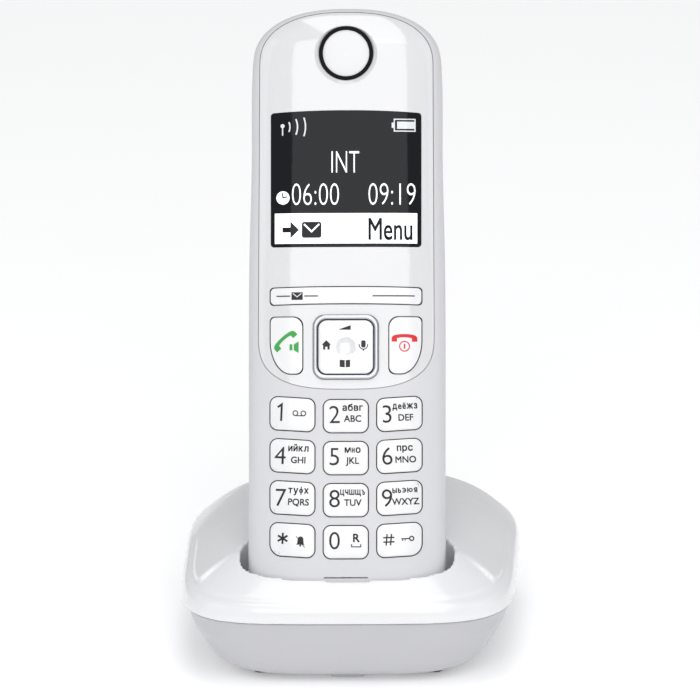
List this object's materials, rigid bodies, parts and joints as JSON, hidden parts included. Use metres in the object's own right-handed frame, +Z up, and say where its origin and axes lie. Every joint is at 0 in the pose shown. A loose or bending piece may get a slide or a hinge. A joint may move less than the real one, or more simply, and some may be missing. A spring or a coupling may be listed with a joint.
{
  "type": "cordless phone with charging base",
  "caption": "White cordless telephone handset with keypad and colour display, standing in a low charging base.",
  "frame": {"origin": "centre of the footprint at the bottom of the rubber feet", "axes": "+Z up, the display and keys face -Y, the handset leans back towards +Y, +X is to the right seen from the front"},
  "size_m": [0.084, 0.0901, 0.1567],
  "materials": {
    "board_green": "solder mask",
    "cell_wrap": "shrink film",
    "cover_gloss": "high gloss",
    "dome_film": "satin film",
    "key_gloss": "high gloss",
    "lens_black": "polished",
    "nav_silver": "bright pearl gloss",
    "nickel": "nickel plated",
    "panel_dark": "polished film",
    "part_black": "matt",
    "ring_black": "satin",
    "rubber_dark": "matt",
    "shell_white": "fine satin moulding",
    "silicone_grey": "soft matt",
    "steel": "zinc plated",
    "white_film": "diffuse"
  },
  "bodies": {
    "base": {"base_upper_shell": "cover_gloss", "base_lower_shell": "shell_white", "dc_jack": "part_black", "line_jack": "part_black", "base_feet": "rubber_dark", "base_board": "board_green", "base_antennas": "nickel", "base_screws": "steel"},
    "handset": {"front_shell": "shell_white", "front_cover": "cover_gloss", "display_lens": "lens_black", "nav_frame": "nav_silver", "earpiece_ring": "ring_black", "earpiece_cap": "cover_gloss", "earpiece_speaker": "part_black", "earpiece_gasket": "rubber_dark", "handset_board": "board_green", "dome_sheet": "dome_film", "keypad_mat": "silicone_grey", "backlight": "white_film", "display_panel": "panel_dark", "microphone": "nickel", "ringer": "part_black", "handset_antenna": "nickel", "back_shell": "shell_white", "battery_cells": "cell_wrap", "battery_terminals": "nickel", "handset_contacts": "nickel", "handset_screws": "steel"},
    "key_1": {"key_1": "key_gloss"},
    "key_2": {"key_2": "key_gloss"},
    "key_3": {"key_3": "key_gloss"},
    "key_4": {"key_4": "key_gloss"},
    "key_5": {"key_5": "key_gloss"},
    "key_6": {"key_6": "key_gloss"},
    "key_7": {"key_7": "key_gloss"},
    "key_8": {"key_8": "key_gloss"},
    "key_9": {"key_9": "key_gloss"},
    "key_star": {"key_star": "key_gloss"},
    "key_0": {"key_0": "key_gloss"},
    "key_hash": {"key_hash": "key_gloss"},
    "talk_key": {"talk_key": "key_gloss"},
    "end_key": {"end_key": "key_gloss"},
    "softkey_bar": {"softkey_bar": "key_gloss"},
    "nav_gimbal": {"nav_gimbal": "part_black"},
    "nav_key": {"nav_key": "nav_silver"},
    "battery_cover": {"battery_cover": "shell_white"},
    "charge_pin_left": {"charge_pin_left": "nickel"},
    "charge_pin_right": {"charge_pin_right": "nickel"},
    "paging_key": {"paging_key": "shell_white"}
  },
  "joints": [
    {"name": "handset_lift", "type": "slide", "parent": "base", "child": "handset", "axis": [0, 0.3746, 0.9272], "range_m": [0, 0.08]},
    {"name": "key_1_press", "type": "slide", "parent": "handset", "child": "key_1", "axis": [0, -0.9272, 0.3746], "range_m": [-0.0005, 0], "stiffness_N_per_m": 1200},
    {"name": "key_2_press", "type": "slide", "parent": "handset", "child": "key_2", "axis": [0, -0.9272, 0.3746], "range_m": [-0.0005, 0], "stiffness_N_per_m": 1200},
    {"name": "key_3_press", "type": "slide", "parent": "handset", "child": "key_3", "axis": [0, -0.9272, 0.3746], "range_m": [-0.0005, 0], "stiffness_N_per_m": 1200},
    {"name": "key_4_press", "type": "slide", "parent": "handset", "child": "key_4", "axis": [0, -0.9272, 0.3746], "range_m": [-0.0005, 0], "stiffness_N_per_m": 1200},
    {"name": "key_5_press", "type": "slide", "parent": "handset", "child": "key_5", "axis": [0, -0.9272, 0.3746], "range_m": [-0.0005, 0], "stiffness_N_per_m": 1200},
    {"name": "key_6_press", "type": "slide", "parent": "handset", "child": "key_6", "axis": [0, -0.9272, 0.3746], "range_m": [-0.0005, 0], "stiffness_N_per_m": 1200},
    {"name": "key_7_press", "type": "slide", "parent": "handset", "child": "key_7", "axis": [0, -0.9272, 0.3746], "range_m": [-0.0005, 0], "stiffness_N_per_m": 1200},
    {"name": "key_8_press", "type": "slide", "parent": "handset", "child": "key_8", "axis": [0, -0.9272, 0.3746], "range_m": [-0.0005, 0], "stiffness_N_per_m": 1200},
    {"name": "key_9_press", "type": "slide", "parent": "handset", "child": "key_9", "axis": [0, -0.9272, 0.3746], "range_m": [-0.0005, 0], "stiffness_N_per_m": 1200},
    {"name": "key_star_press", "type": "slide", "parent": "handset", "child": "key_star", "axis": [0, -0.9272, 0.3746], "range_m": [-0.0005, 0], "stiffness_N_per_m": 1200},
    {"name": "key_0_press", "type": "slide", "parent": "handset", "child": "key_0", "axis": [0, -0.9272, 0.3746], "range_m": [-0.0005, 0], "stiffness_N_per_m": 1200},
    {"name": "key_hash_press", "type": "slide", "parent": "handset", "child": "key_hash", "axis": [0, -0.9272, 0.3746], "range_m": [-0.0005, 0], "stiffness_N_per_m": 1200},
    {"name": "talk_key_press", "type": "slide", "parent": "handset", "child": "talk_key", "axis": [0, -0.9272, 0.3746], "range_m": [-0.0005, 0], "stiffness_N_per_m": 1200},
    {"name": "end_key_press", "type": "slide", "parent": "handset", "child": "end_key", "axis": [0, -0.9272, 0.3746], "range_m": [-0.0005, 0], "stiffness_N_per_m": 1200},
    {"name": "softkey_rock", "type": "hinge", "parent": "handset", "child": "softkey_bar", "pos_m": [0, -0.00419, 0.08977], "axis": [0, 0.3746, 0.9272], "range_deg": [-1.2, 1.2], "stiffness_Nm_per_rad": 0.4},
    {"name": "nav_tilt_updown", "type": "hinge", "parent": "handset", "child": "nav_gimbal", "pos_m": [0, -0.00915, 0.07803], "axis": [1, 0, 0], "range_deg": [-1.6, 1.6], "stiffness_Nm_per_rad": 0.25},
    {"name": "nav_tilt_sideways", "type": "hinge", "parent": "nav_gimbal", "child": "nav_key", "pos_m": [0, -0.00915, 0.07803], "axis": [0, 0.3746, 0.9272], "range_deg": [-1.6, 1.6], "stiffness_Nm_per_rad": 0.25},
    {"name": "battery_cover_lift", "type": "slide", "parent": "handset", "child": "battery_cover", "axis": [0, 0.9272, -0.3746], "range_m": [0, 0.014]},
    {"name": "charge_pin_left_spring", "type": "slide", "parent": "base", "child": "charge_pin_left", "axis": [0, 0.3746, 0.9272], "range_m": [-0.0004, 0], "stiffness_N_per_m": 400},
    {"name": "charge_pin_right_spring", "type": "slide", "parent": "base", "child": "charge_pin_right", "axis": [0, 0.3746, 0.9272], "range_m": [-0.0004, 0], "stiffness_N_per_m": 400},
    {"name": "paging_press", "type": "slide", "parent": "base", "child": "paging_key", "axis": [0, 0, 1], "range_m": [0, 0.0006], "stiffness_N_per_m": 800}
  ]
}
